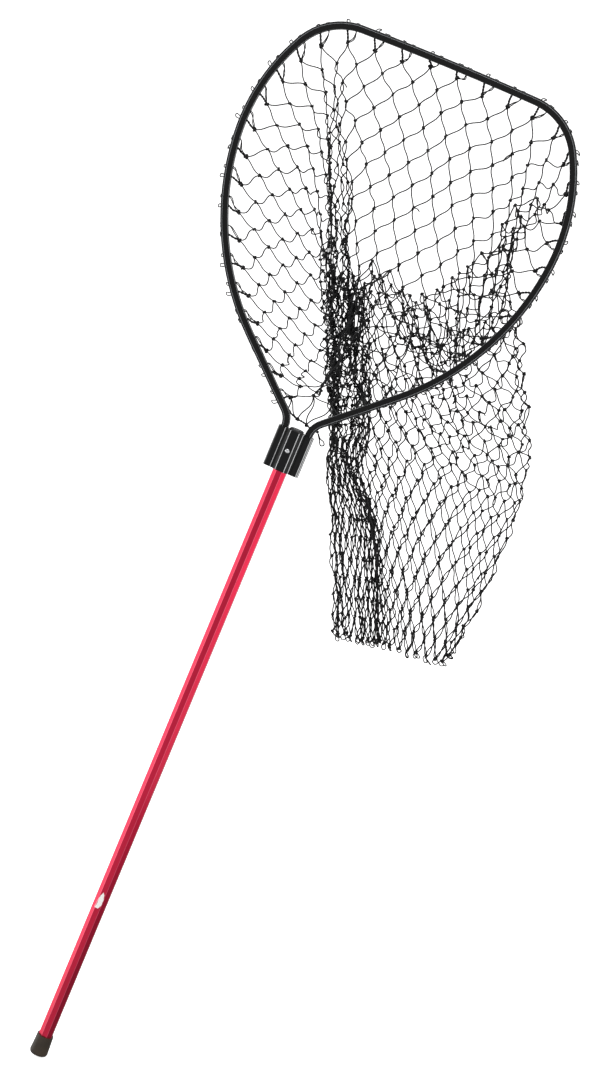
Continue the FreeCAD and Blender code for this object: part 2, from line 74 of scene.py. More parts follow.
def colour(hex_value):
    """sRGB hex to the linear numbers that shaders use."""
    values = [int(hex_value[k:k + 2], 16) / 255 for k in (1, 3, 5)]
    linear = [v / 12.92 if v <= 0.04045 else ((v + 0.055) / 1.055) ** 2.4 for v in values]
    return (*linear, 1.0)


def node(tree, kind, settings=None, links=None):
    """Adds one node, sets its properties or sockets, and joins its inputs to other nodes' outputs."""
    new = tree.nodes.new(kind)
    for name, value in (settings or {}).items():
        if isinstance(name, int) or name in new.inputs:
            new.inputs[name].default_value = value
        else:
            setattr(new, name, value)
    for name, source in (links or {}).items():
        tree.links.new(source, new.inputs[name])
    return new


def material(name, **shader):
    """A new node material: returns it, its tree and its Principled shader with these sockets set."""
    made = bpy.data.materials.new(name)
    made.use_nodes = True
    tree = made.node_tree
    surface = tree.nodes["Principled BSDF"]
    for socket, value in shader.items():
        surface.inputs[socket.replace("_", " ")].default_value = value
    return made, tree, surface


def new_mesh(name, points, faces, smooth=True):
    """A mesh object in the scene from points in metres."""
    data = bpy.data.meshes.new(name)
    data.from_pydata([tuple(p) for p in points], [], [tuple(f) for f in faces])
    data.update()
    if smooth:
        data.polygons.foreach_set("use_smooth", [True] * len(data.polygons))
    made = bpy.data.objects.new(name, data)
    scene.collection.objects.link(made)
    return made


WHITE = (1.0, 1.0, 1.0, 1.0)
FLOOR_DROP = 0.0004
FLOOR_REACH = 400.0
floor_height = cad_box[0][2] - FLOOR_DROP
floor = new_mesh("floor", [(x * FLOOR_REACH, y * FLOOR_REACH, floor_height)
                           for x, y in ((-1, -1), (1, -1), (1, 1), (-1, 1))], [(0, 1, 2, 3)], smooth=False)
floor_paint, tree, surface = material(
    "matt_white_paint", Base_Color=colour("#F4F4F4"), Roughness=0.9,
    Emission_Color=WHITE, Emission_Strength=0.72)
floor.data.materials.append(floor_paint)
floor.visible_glossy = False
floor.visible_diffuse = False

# ---------------------------------------------------------------- light
# Two tall soft boxes, one at each side, a softer one overhead and a dim room in front, which
# leaves the facets that look at the lens darker than the ones that look aside. Past the floor
# the room itself is plain white.


def soft_box(name, place, aim, width, height, power):
    """A rectangular studio light at a place, turned to what it lights, in metres and watts."""
    data = bpy.data.lights.new(name, "AREA")
    data.shape = "RECTANGLE"
    data.size = width
    data.size_y = height
    data.energy = power
    made = bpy.data.objects.new(name, data)
    made.location = place
    made.rotation_euler = (Vector(aim) - Vector(place)).to_track_quat("-Z", "Y").to_euler()
    made.visible_camera = False
    scene.collection.objects.link(made)


net_middle = (0.5, 0.2, 1.0)
soft_box("left_soft_box", (-2.4, 0.25, 1.15), net_middle, 1.5, 2.6, 20.0)
soft_box("right_floor_card", (2.1, 0.05, 0.02), (0.4, 0.2, 1.0), 1.5, 1.6, 9.0)
soft_box("overhead_soft_box", (0.6, -0.8, 4.0), net_middle, 2.4, 2.4, 55.0)
soft_box("right_soft_box", (3.2, -1.4, 1.7), net_middle, 1.2, 2.0, 30.0)
room = bpy.data.worlds.new("pale_room")
room.use_nodes = True
tree = room.node_tree
upward = node(tree, "ShaderNodeSeparateXYZ",
              links={"Vector": node(tree, "ShaderNodeTexCoord").outputs["Generated"]})
height = node(tree, "ShaderNodeMapRange", {"From Min": -1.0, "From Max": 1.0},
              {"Value": upward.outputs["Z"]})
glow = node(tree, "ShaderNodeValToRGB", links={"Fac": height.outputs["Result"]})
ramp = glow.color_ramp
ramp.elements[0].position = 0.20
ramp.elements[0].color = (0.30, 0.30, 0.30, 1.0)
ramp.elements[1].position = 0.42
ramp.elements[1].color = WHITE
for spot, level in ((0.50, 0.66), (0.56, 0.72), (1.0, 0.85)):
    ramp.elements.new(spot).color = (level, level, level, 1.0)
seen = node(tree, "ShaderNodeMix", {"data_type": "RGBA"},
            {"Factor": node(tree, "ShaderNodeLightPath").outputs["Is Camera Ray"]})
tree.links.new(glow.outputs["Color"], seen.inputs[6])
seen.inputs[7].default_value = WHITE
tree.links.new(seen.outputs[2], tree.nodes["Background"].inputs["Color"])
scene.world = room
scene.view_settings.view_transform = "Standard"

# ---------------------------------------------------------------- handle tube
# Drawn aluminium octagon, anodised red: the oxide layer is dyed, so the metal glows through
# it, with fine die lines along its length, a painted pale highlight line along each corner and a
# hard clear skin.
HANDLE_ROLL = math.radians(21.0)
HANDLE_LEAN = math.radians(10.0)


def held(point):
    """A place measured along the upright handle, as it lies in the part."""
    x, y, z = point
    back = y * math.cos(HANDLE_LEAN) + z * math.sin(HANDLE_LEAN)
    up = z * math.cos(HANDLE_LEAN) - y * math.sin(HANDLE_LEAN)
    return np.array((x * math.cos(HANDLE_ROLL) + up * math.sin(HANDLE_ROLL), back,
                     up * math.cos(HANDLE_ROLL) - x * math.sin(HANDLE_ROLL)))


handle_axes = np.array([held(v) for v in np.eye(3)]).T
handle_turn = Matrix([list(row) for row in handle_axes.T]).to_euler()


def handle_grain(tree, across, along):
    """Coordinates in the handle's own axes, in pattern cells per metre across it and along it."""
    place = node(tree, "ShaderNodeTexCoord")
    turned = node(tree, "ShaderNodeMapping", {"Rotation": handle_turn}, {"Vector": place.outputs["Object"]})
    return node(tree, "ShaderNodeMapping", {"Scale": (across, across, along)},
                {"Vector": turned.outputs["Vector"]}).outputs["Vector"]


def dress(name, finish):
    """Gives a CAD piece its finish."""
    nodes[name].data.materials.clear()
    nodes[name].data.materials.append(finish)


red_anodised, tree, surface = material(
    "red_anodised_aluminium", Metallic=1.0, Roughness=0.30, Coat_Weight=0.28, Coat_IOR=1.60,
    Coat_Roughness=0.16)
# Die lines 1.1 mm apart, coarser than real ones so that they show, and dye clouds 25 mm across.
die_lines = node(tree, "ShaderNodeTexNoise", {"Scale": 1.0, "Detail": 3.0},
                 {"Vector": handle_grain(tree, 900.0, 6.0)})
dye = node(tree, "ShaderNodeTexNoise", {"Scale": 1.0, "Detail": 2.0},
           {"Vector": handle_grain(tree, 40.0, 9.0)})
shade = node(tree, "ShaderNodeValToRGB", links={"Fac": dye.outputs["Fac"]})
shade.color_ramp.elements[0].position = 0.3
shade.color_ramp.elements[0].color = colour("#BE1138")
shade.color_ramp.elements[1].position = 0.7
shade.color_ramp.elements[1].color = colour("#CC163F")
# Each eighth of the way round, a corner takes a painted pale highlight line, for the gleam that
# a rounded edge would catch.
turned = node(tree, "ShaderNodeSeparateXYZ", links={"Vector": handle_grain(tree, 1.0, 1.0)})
angle = node(tree, "ShaderNodeMath", {"operation": "ARCTAN2"},
             {0: turned.outputs["Y"], 1: turned.outputs["X"]})
eighths = node(tree, "ShaderNodeMath", {"operation": "MULTIPLY_ADD", 1: 4.0 / math.pi, 2: 8.5},
               {0: angle.outputs["Value"]})
facet = node(tree, "ShaderNodeMath", {"operation": "FRACT"}, {0: eighths.outputs["Value"]})
from_arris = node(tree, "ShaderNodeMath", {"operation": "PINGPONG", 1: 0.5}, {0: facet.outputs["Value"]})
arris = node(tree, "ShaderNodeMapRange", {"From Min": 0.0, "From Max": 0.06, "To Min": 1.0, "To Max": 0.0},
             {"Value": from_arris.outputs["Value"]})
corner_highlight = node(tree, "ShaderNodeMix", {"data_type": "RGBA"}, {"Factor": arris.outputs["Result"]})
tree.links.new(shade.outputs["Color"], corner_highlight.inputs[6])
corner_highlight.inputs[7].default_value = colour("#E8647F")
tree.links.new(corner_highlight.outputs[2], surface.inputs["Base Color"])
polish = node(tree, "ShaderNodeMapRange", {"To Min": 0.24, "To Max": 0.38},
              {"Value": die_lines.outputs["Fac"]})
tree.links.new(polish.outputs["Result"], surface.inputs["Roughness"])
bump = node(tree, "ShaderNodeBump", {"Strength": 0.5, "Distance": 0.00003},
            {"Height": die_lines.outputs["Fac"]})
tree.links.new(bump.outputs["Normal"], surface.inputs["Normal"])
dress("handle_tube", red_anodised)

# ---------------------------------------------------------------- butt cap
# A cap dipped and moulded in dark brown-black soft vinyl and pushed over the tube's end:
# slightly waxy, with a faint pebbled skin and cloudy patches where it has been scuffed.
soft_vinyl, tree, surface = material(
    "moulded_soft_vinyl", Roughness=0.46, IOR=1.53, Specular_IOR_Level=0.4)
# Pebbles 1.4 mm apart and scuffed patches 17 mm across.
pebble = node(tree, "ShaderNodeTexNoise", {"Scale": 700.0, "Detail": 4.0},
              {"Vector": node(tree, "ShaderNodeTexCoord").outputs["Object"]})
cloud = node(tree, "ShaderNodeTexNoise", {"Scale": 60.0, "Detail": 2.0},
             {"Vector": node(tree, "ShaderNodeTexCoord").outputs["Object"]})
tone = node(tree, "ShaderNodeValToRGB", links={"Fac": cloud.outputs["Fac"]})
tone.color_ramp.elements[0].position = 0.35
tone.color_ramp.elements[0].color = colour("#281F14")
tone.color_ramp.elements[1].position = 0.7
tone.color_ramp.elements[1].color = colour("#352A1C")
tree.links.new(tone.outputs["Color"], surface.inputs["Base Color"])
bump = node(tree, "ShaderNodeBump", {"Strength": 0.6, "Distance": 0.00012},
            {"Height": pebble.outputs["Fac"]})
tree.links.new(bump.outputs["Normal"], surface.inputs["Normal"])
dress("butt_cap", soft_vinyl)

# ---------------------------------------------------------------- top plug
# An injection moulded polypropylene bung that closes the tube's upper end: even, slightly
# waxy black with the fine spark-eroded grain of its mould.
black_plastic, tree, surface = material(
    "moulded_polypropylene", Base_Color=colour("#17181A"), Roughness=0.42, IOR=1.49)
# Grain 0.4 mm apart, some times coarser than a real mould's so that it shows.
grain = node(tree, "ShaderNodeTexNoise", {"Scale": 2500.0, "Detail": 2.0},
             {"Vector": node(tree, "ShaderNodeTexCoord").outputs["Object"]})
bump = node(tree, "ShaderNodeBump", {"Strength": 0.5, "Distance": 0.00003},
            {"Height": grain.outputs["Fac"]})
tree.links.new(bump.outputs["Normal"], surface.inputs["Normal"])
wax = node(tree, "ShaderNodeMapRange", {"To Min": 0.36, "To Max": 0.5}, {"Value": grain.outputs["Fac"]})
tree.links.new(wax.outputs["Result"], surface.inputs["Roughness"])
dress("top_plug", black_plastic)

# ---------------------------------------------------------------- yoke
# A sawn length of ribbed aluminium extrusion, black anodised: satin black faces with lines
# along the die's direction, and a painted pale highlight line along every thin lip.


def black_anodised(name, rough_low, rough_high):
    """Satin black oxide on aluminium, with drawn lines along the handle's axis."""
    made, tree, surface = material(name, Metallic=0.2, Roughness=0.36, Specular_IOR_Level=0.28)
    # Lines 0.9 mm apart, coarser than real ones so that they show.
    lines = node(tree, "ShaderNodeTexNoise", {"Scale": 1.0, "Detail": 3.0},
                 {"Vector": handle_grain(tree, 1100.0, 8.0)})
    gloss = node(tree, "ShaderNodeMapRange", {"To Min": rough_low, "To Max": rough_high},
                 {"Value": lines.outputs["Fac"]})
    tree.links.new(gloss.outputs["Result"], surface.inputs["Roughness"])
    bump = node(tree, "ShaderNodeBump", {"Strength": 0.5, "Distance": 0.00003},
                {"Height": lines.outputs["Fac"]})
    tree.links.new(bump.outputs["Normal"], surface.inputs["Normal"])
    return made, tree, surface


def worn_bands(tree, surface, value, bands, dark, highlight):
    """Painted highlight lines: a paler colour where the value is near one of these (middle, half width)
    bands.
    """
    shade = node(tree, "ShaderNodeValToRGB", links={"Fac": value})
    stops = shade.color_ramp
    stops.elements[0].color = colour(dark)
    stops.elements[1].position = 0.001
    stops.elements[1].color = colour(dark)
    for middle, half in bands:
        for spot, tone in ((middle - half, dark), (middle, highlight), (middle + half, dark)):
            if spot < 1.0:
                stops.elements.new(spot).color = colour(tone)
    tree.links.new(shade.outputs["Color"], surface.inputs["Base Color"])


YOKE_HALF = 0.0319
LIP_HALF = 0.00065
LIPS = (-0.0313, -0.0185, -0.0078, 0.0078, 0.0143, 0.0290, 0.0312)
yoke_black, tree, surface = black_anodised("black_anodised_extrusion", 0.30, 0.44)
across = node(tree, "ShaderNodeSeparateXYZ", links={"Vector": handle_grain(tree, 1.0, 1.0)})
share = node(tree, "ShaderNodeMapRange", {"From Min": -YOKE_HALF, "From Max": YOKE_HALF},
             {"Value": across.outputs["X"]})
# Along each lip, a thin near-white line is painted into the colour as the highlight its edge would catch.
worn_bands(tree, surface, share.outputs["Result"],
           [((x + YOKE_HALF) / (2 * YOKE_HALF), LIP_HALF / (2 * YOKE_HALF)) for x in LIPS],
           "#060708", "#F2F3F4")
dress("yoke", yoke_black)

# ---------------------------------------------------------------- hoop rail
# Grooved aluminium rail bent into the hoop and anodised black: a little glossier than the
# yoke, with a thin pale highlight line painted along each rounded corner.
rail_black, tree, surface = black_anodised("black_anodised_rail", 0.26, 0.38)
facing = node(tree, "ShaderNodeVectorMath", {"operation": "DOT_PRODUCT"},
              {0: node(tree, "ShaderNodeNewGeometry").outputs["Normal"]})
facing.inputs[1].default_value = tuple(handle_axes[:, 1])
turned_away = node(tree, "ShaderNodeMath", {"operation": "ABSOLUTE"}, {0: facing.outputs["Value"]})
# Where the surface turns partway from the front or back face, on the rounded corners, a pale grey band is
# painted in as a highlight.
worn_bands(tree, surface, turned_away.outputs["Value"], [(0.66, 0.11)], "#030304", "#B4B7BA")
dress("hoop_rail", rail_black)

# ---------------------------------------------------------------- retaining cord
# Braided polyester cord, about three millimetres thick, pulled tight round the rail's outer
# groove, with the small bumps of a sixteen-strand braid.
braid_black, tree, surface = material(
    "braided_polyester_cord", Roughness=0.8, IOR=1.55, Specular_IOR_Level=0.3)
# Each bump is one strand's crossing, 0.9 mm from the next.
strands = node(tree, "ShaderNodeTexVoronoi", {"Scale": 1100.0},
               {"Vector": node(tree, "ShaderNodeTexCoord").outputs["Object"]})
yarn = node(tree, "ShaderNodeValToRGB", links={"Fac": strands.outputs["Distance"]})
yarn.color_ramp.elements[0].color = colour("#202124")
yarn.color_ramp.elements[1].color = colour("#0B0B0C")
tree.links.new(yarn.outputs["Color"], surface.inputs["Base Color"])
bump = node(tree, "ShaderNodeBump", {"Strength": 0.8, "Distance": 0.0003},
            {"Height": strands.outputs["Distance"]})
tree.links.new(bump.outputs["Normal"], surface.inputs["Normal"])
dress("retaining_cord", braid_black)

# ---------------------------------------------------------------- screws
# Four pan headed screws hold the hoop's legs in the yoke's channels from behind. Blackened
# steel: a thin oiled oxide that leaves the steel's sheen showing, mottled at about 1 mm.
blackened_steel, tree, surface = material(
    "blackened_steel", Metallic=1.0, Roughness=0.4)
oxide = node(tree, "ShaderNodeTexNoise", {"Scale": 900.0, "Detail": 3.0},
             {"Vector": node(tree, "ShaderNodeTexCoord").outputs["Object"]})
blued = node(tree, "ShaderNodeValToRGB", links={"Fac": oxide.outputs["Fac"]})
blued.color_ramp.elements[0].color = colour("#2A2B2E")
blued.color_ramp.elements[1].color = colour("#46474B")
tree.links.new(blued.outputs["Color"], surface.inputs["Base Color"])
bump = node(tree, "ShaderNodeBump", {"Strength": 0.5, "Distance": 0.00002},
            {"Height": oxide.outputs["Fac"]})
tree.links.new(bump.outputs["Normal"], surface.inputs["Normal"])
for number in (1, 2, 3, 4):
    dress("leg_screw_" + str(number), blackened_steel)

# ---------------------------------------------------------------- snap button
# Turned steel button that stands out through tube and yoke and locks them. It is bright nickel
# plated and polished by thumbs, in patches under 1 mm, and the dimple in its face stays dark.
nickel_plate, tree, surface = material(
    "bright_nickel_plate", Metallic=1.0, Roughness=0.18)
rub = node(tree, "ShaderNodeTexNoise", {"Scale": 1500.0, "Detail": 3.0},
           {"Vector": node(tree, "ShaderNodeTexCoord").outputs["Object"]})
silver = node(tree, "ShaderNodeValToRGB", links={"Fac": rub.outputs["Fac"]})
silver.color_ramp.elements[0].color = colour("#B9BBBE")
silver.color_ramp.elements[1].color = colour("#DDDEDF")
tree.links.new(silver.outputs["Color"], surface.inputs["Base Color"])
shine = node(tree, "ShaderNodeMapRange", {"To Min": 0.12, "To Max": 0.28}, {"Value": rub.outputs["Fac"]})
tree.links.new(shine.outputs["Result"], surface.inputs["Roughness"])
dress("snap_button", nickel_plate)

# ---------------------------------------------------------------- button spring
# Leaf of hardened spring steel, bent to lie inside the tube and push the button out, with the
# uneven grey-blue cast of its heat treatment, in clouds 3 mm across.
spring_steel, tree, surface = material(
    "hardened_spring_steel", Metallic=1.0, Roughness=0.3)
temper = node(tree, "ShaderNodeTexNoise", {"Scale": 300.0, "Detail": 2.0},
              {"Vector": node(tree, "ShaderNodeTexCoord").outputs["Object"]})
cast = node(tree, "ShaderNodeValToRGB", links={"Fac": temper.outputs["Fac"]})
cast.color_ramp.elements[0].color = colour("#5E6470")
cast.color_ramp.elements[1].color = colour("#8A8F98")
tree.links.new(cast.outputs["Color"], surface.inputs["Base Color"])
dress("button_spring", spring_steel)

# ---------------------------------------------------------------- label
# The torn remains of a blank white paper sticker, on the front flat and folded round its left
# corner: fibrous edges and a faint yellowed tint of old glue.
LABEL_CENTRE = 0.315
LABEL_LENGTH = 0.031
FACET = 0.012
HALF_FACET = FACET * math.tan(math.pi / 8)
GLUE = 0.00002
PAPER = 0.0002
LABEL_ROWS, LABEL_COLUMNS = 30, 5
torn = np.random.default_rng(11)


def on_facets(side, height, lift):
    """A place on the front flat, or round its left corner on the next one, seen as one flat strip."""
    if side >= -HALF_FACET:
        return held((side, -FACET - lift, height))
    past = -HALF_FACET - side
    slope = math.sqrt(0.5)
    return held((-HALF_FACET - past * slope - lift * slope, -FACET + past * slope - lift * slope, height))


outline = []
for k in range(LABEL_ROWS):
    t = k / (LABEL_ROWS - 1)
    left = -0.0042 + 0.0030 * (2 * t - 1) + 0.0016 * abs(2 * t - 1) ** 3 + torn.normal(0, 0.00025)
    right = 0.0036 + 0.0012 * math.sin(4.0 * t) - 0.0030 * abs(2 * t - 1) ** 4 + torn.normal(0, 0.00040)
    outline.append((left - 0.0008, right, LABEL_CENTRE + LABEL_LENGTH * (t - 0.5)))
label_points, label_faces = [], []
for lift in (GLUE, PAPER):
    for left, right, height in outline:
        for c in range(LABEL_COLUMNS):
            label_points.append(on_facets(left + (right - left) * c / (LABEL_COLUMNS - 1), height, lift))
sheet_size = LABEL_COLUMNS * LABEL_ROWS
for k in range(LABEL_ROWS - 1):
    for c in range(LABEL_COLUMNS - 1):
        a = k * LABEL_COLUMNS + c
        b = a + LABEL_COLUMNS
        label_faces.append((a, b, b + 1, a + 1))
        label_faces.append((sheet_size + a, sheet_size + a + 1, sheet_size + b + 1, sheet_size + b))
    for c, flip in ((0, False), (LABEL_COLUMNS - 1, True)):
        a = k * LABEL_COLUMNS + c
        edge = (a, sheet_size + a, sheet_size + a + LABEL_COLUMNS, a + LABEL_COLUMNS)
        label_faces.append(edge[::-1] if flip else edge)
for k, flip in ((0, True), (LABEL_ROWS - 1, False)):
    for c in range(LABEL_COLUMNS - 1):
        a = k * LABEL_COLUMNS + c
        edge = (a, sheet_size + a, sheet_size + a + 1, a + 1)
        label_faces.append(edge[::-1] if flip else edge)
label = new_mesh("torn_label", label_points, label_faces, smooth=False)
paper, tree, surface = material("torn_sticker_paper", Roughness=0.85, IOR=1.5)
# Fibres 1.1 mm apart, much coarser than real paper's so that they show.
fibre = node(tree, "ShaderNodeTexNoise", {"Scale": 900.0, "Detail": 5.0},
             {"Vector": node(tree, "ShaderNodeTexCoord").outputs["Object"]})
aged = node(tree, "ShaderNodeValToRGB", links={"Fac": fibre.outputs["Fac"]})
aged.color_ramp.elements[0].position = 0.3
aged.color_ramp.elements[0].color = colour("#E6E2DC")
aged.color_ramp.elements[1].position = 0.6
aged.color_ramp.elements[1].color = colour("#FDFCFA")
tree.links.new(aged.outputs["Color"], surface.inputs["Base Color"])
bump = node(tree, "ShaderNodeBump", {"Strength": 0.6, "Distance": 0.00004},
            {"Height": fibre.outputs["Fac"]})
tree.links.new(bump.outputs["Normal"], surface.inputs["Normal"])
label.data.materials.append(paper)
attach(label, "handle")
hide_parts("handle_label")

# ---------------------------------------------------------------- netting
# The bag is machine-made knotted netting of black nylon twine: 38 meshes round, hung at 38
# places from the rail, each bar of a mesh 38 mm long from knot to knot. It hangs gathered to
# one side, its last row laced flat, and settles by a small simulation of its knots.
LEG_TOP_X, LEG_TOP_Z = 0.022, 1.216
FLARE_RADIUS, FLARE_TURN = 0.036, math.radians(48.0)
LEG_RUN = 0.139
SIDE_BENDS = ((0.445, 44.0), (0.325, 33.0), (0.105, 59.5))


def rim_line():
    """Middle line of the bent rail above its flares, from the right leg round to the left one."""
    x, z, heading = LEG_TOP_X, LEG_TOP_Z, 0.0
    half = []

    def bend(radius, turn, kept=True, steps=200):
        nonlocal x, z, heading
        side = math.copysign(1.0, turn)
        cx = x + math.cos(heading) * radius * side
        cz = z - math.sin(heading) * radius * side
        for k in range(1, steps + 1):
            a = heading + turn * k / steps
            if kept:
                half.append((cx - math.cos(a) * radius * side, cz + math.sin(a) * radius * side,
                             math.cos(a), -math.sin(a)))
        heading += turn
        x, z = cx - math.cos(heading) * radius * side, cz + math.sin(heading) * radius * side

    bend(FLARE_RADIUS, FLARE_TURN, kept=False)
    for k in range(81):
        half.append((x + math.sin(heading) * LEG_RUN * k / 80, z + math.cos(heading) * LEG_RUN * k / 80,
                     math.cos(heading), -math.sin(heading)))
    x, z = half[-1][0], half[-1][1]
    for radius, turn in SIDE_BENDS:
        bend(radius, -math.radians(turn))
    bend(x / math.cos(heading), -(math.pi / 2 + heading))
    half = np.array(half)
    return np.vstack([half, half[-2::-1] * (-1, 1, -1, 1)])


rim = rim_line()
rim_along = np.r_[0.0, np.cumsum(np.hypot(*np.diff(rim[:, :2], axis=0).T))]
HANGINGS = 38
PITCH = rim_along[-1] / HANGINGS
HOLE_OFFSET = 0.008
ROWS = 32
BAR, LEAST_BAR = 0.038, 0.024
LEAST_GAP = 0.009
LACING = 0.008
ARM_LENGTHS = (0.031, 0.020)


def on_rim(distance, inward=0.0, back=0.0):
    """A place beside the rail, that far round it, inward of its middle line and behind it."""
    x, z, nx, nz = (np.interp(distance % rim_along[-1], rim_along, rim[:, k]) for k in range(4))
    return held((x - nx * inward, back, z - nz * inward))


# The bag lies flat, with a fold down each side under these hanging places. Its front wall is
# turned down over itself behind the hoop, from a crest to an arch, and the rest is gathered
# into one column. Each guide below is a row of knots and the x, y and z that it hangs near.
RIGHT_FOLD = 9
LEFT_FOLD = RIGHT_FOLD + HANGINGS // 2
LAST = ROWS - 1
LEVEL = LAST - 9
ARCH = LAST - 12
TOP_BAR_END = 18
COLUMN_TOP = 24
COLUMN_FOOT = 1.12
GATHERED = (0.0, 0.06, 0.16, 0.30, 0.46, 0.60, 0.72, 0.82, 0.91, 1.0)


def turned_down(i, start, level_x):
    """Guides under the right leg and side, where the front wall goes up to its crest and down again."""
    crest_x = (0.500, 0.555, 0.595, 0.615, 0.655, 0.695, 0.750, 0.795)
    crest_z = (1.500, 1.455, 1.400, 1.345, 1.365, 1.420, 1.490, 1.535)
    arch_x = (0.540, 0.595, 0.650, 0.740, 0.790, 0.825)
    arch_z = (1.090, 1.105, 1.145, 1.150, 1.120, 1.050)
    t = i / 11
    cx = np.interp(t, np.linspace(0, 1, 8), crest_x)
    cz = np.interp(t, np.linspace(0, 1, 8), crest_z)
    ax = np.interp(t, np.linspace(0, 1, 6), arch_x)
    az = np.interp(t, np.linspace(0, 1, 6), arch_z)
    up = int(round(math.hypot(cx - start[0], cz - start[2]) / 0.034)) + 1
    guides = [(up, cx, 0.315, cz)]
    if i <= 2:
        drop = (LAST - up) * (cz - 1.005) / (cz - 0.72)
        guides.append((up + int(round(drop)) - 4, level_x - 0.010, 0.275, COLUMN_FOOT))
    elif i < RIGHT_FOLD:
        if ARCH - 2 - up > 8:
            guides += [(up + 4, (cx + ax) / 2, 0.285, 0.5 * (cz + az) - 0.03),
                       (up + 7, (cx + ax) / 2 + 0.012, 0.295, 0.5 * (cz + az) + 0.035)]
        guides += [(ARCH - 2, ax, 0.268, az + 0.012), (ARCH, ax, 0.275, az - 0.004)]
    else:
        guides += [(10, 0.790 - 0.02 * (i - RIGHT_FOLD), 0.315, 1.320),
                   (15, 0.815 - 0.02 * (i - RIGHT_FOLD), 0.315, 1.180)]
    return guides


def into_column(i, start):
    """Guides from the top of the hoop and its left side into the gathered column, and down it."""
    from_fold = abs(i - LEFT_FOLD)
    if i < COLUMN_TOP:
        row = max(1, int(round((start[0] - 0.475) / 0.0139)))
        meet = start[2] - 0.027 * row
        return [(row, 0.474 + 0.006 * (22 - i), 0.320, meet),
                (LEVEL - 2, 0.474 + 0.006 * from_fold, 0.318, COLUMN_FOOT)]
    meet = 1.680 - 0.046 * (i - COLUMN_TOP)
    column = np.interp(meet, (1.10, 1.40, 1.65), (0.468, 0.461, 0.456))
    row = max(1, int(round(math.hypot(column - start[0], meet - start[2]) / 0.0325)))
    guides = [(row, column + 0.002 * from_fold, 0.5 * start[1] + 0.15, meet)]
    if i >= 31:
        lift = 0.038 * (i - 30)
        guides += [(row + math.ceil(lift / 0.034), 0.474 + 0.010 * (i - 31), 0.300, meet + lift),
                   (LEVEL - 2, 0.472 + 0.012 * (i - 31), 0.300, COLUMN_FOOT)]
    else:
        guides.append((LEVEL - 2, 0.468 + 0.003 * from_fold, 0.315, COLUMN_FOOT))
    return guides


def guide_line(i):
    """Where the knots under one hanging place lie, row by row, from the rim to the laced foot."""
    foot_x = (0.470, 0.500, 0.560, 0.600, 0.645, 0.690)
    foot_z = (0.740, 0.730, 0.712, 0.675, 0.672, 0.712)
    start = on_rim((i + 0.5) * PITCH, inward=0.030, back=0.010)
    front = i < RIGHT_FOLD or i >= LEFT_FOLD
    if i <= TOP_BAR_END:
        from_fold = abs(i - RIGHT_FOLD)
        level_x, level_z = 0.825 - 0.033 * from_fold, 0.978 + 0.0115 * from_fold
        foot = 0.690 - 0.0140 * from_fold
    else:
        share = GATHERED[abs(i - LEFT_FOLD)]
        level_x, level_z = 0.470 + 0.034 * share, 1.065
        foot = 0.477 + 0.080 * share
    if i <= 11:
        guides = turned_down(i, start, level_x)
    elif i <= TOP_BAR_END:
        guides = [(12, start[0] - 0.167, 0.321, start[2] - 0.324)]
    else:
        guides = into_column(i, start)
    guides.append((LEVEL, level_x, 0.285 if front else 0.323, level_z))
    if i > TOP_BAR_END:
        guides.append((LEVEL + 3, 0.470 + 0.084 * share, 0.300 if front else 0.318, 0.955))
    guides.append((LAST, foot, 0.303 if front else 0.312, np.interp(foot, foot_x, foot_z)))
    rows = [0] + [g[0] for g in guides]
    return np.stack([np.interp(np.arange(ROWS), rows, [start[axis]] + [g[axis + 1] for g in guides])
                     for axis in range(3)], 1)


def knot_number(row, i):
    """A knot's place in the list: its row, and its hanging place counted round the bag."""
    return row * HANGINGS + i % HANGINGS


# How far behind the handle's axis knots stay: clear of the rail, of the tube where it slides past
# above the plug, and of the yoke. The rim's own row may come level with the rail.
BEHIND_RAIL, RIM_ROW = 0.010, -0.002
BEHIND_TUBE, TUBE_ROOM, TUBE_ABOVE = 0.0195, 0.034, 1.2
BEHIND_YOKE, YOKE_ROOM, YOKE_BELOW = 0.019, 0.036, 1.222
REAR_LIMIT = 0.345


def correct(moved, pair, longest=math.inf, shortest=0.0, ease=0.0):
    """Draws pairs of knots together that are too far apart, and eases apart those too near."""
    a, b = pair
    gap = moved[b] - moved[a]
    size = np.sqrt((gap * gap).sum(1))
    shift = gap * ((np.maximum(size - longest, 0) * 0.5 - np.maximum(shortest - size, 0) * ease)
                   / size)[:, None]
    moved[a] += shift
    moved[b] -= shift


def keep_behind(moved):
    """Keeps knots behind the rail, and further back where the handle and the yoke slide past."""
    local = moved @ handle_axes
    side, height = np.abs(local[:, 0]), local[:, 2]
    nearest = np.full(len(local), BEHIND_RAIL)
    nearest[:HANGINGS] = RIM_ROW
    nearest = np.where((side < TUBE_ROOM) & (height > TUBE_ABOVE), BEHIND_TUBE, nearest)
    nearest = np.where((side < YOKE_ROOM) & (height < YOKE_BELOW), BEHIND_YOKE, nearest)
    moved += np.maximum(nearest - local[:, 1], 0)[:, None] * handle_axes[:, 1]
    moved[:, 1] = np.minimum(moved[:, 1], REAR_LIMIT)


GRAVITY = (0, 0, -9.81)


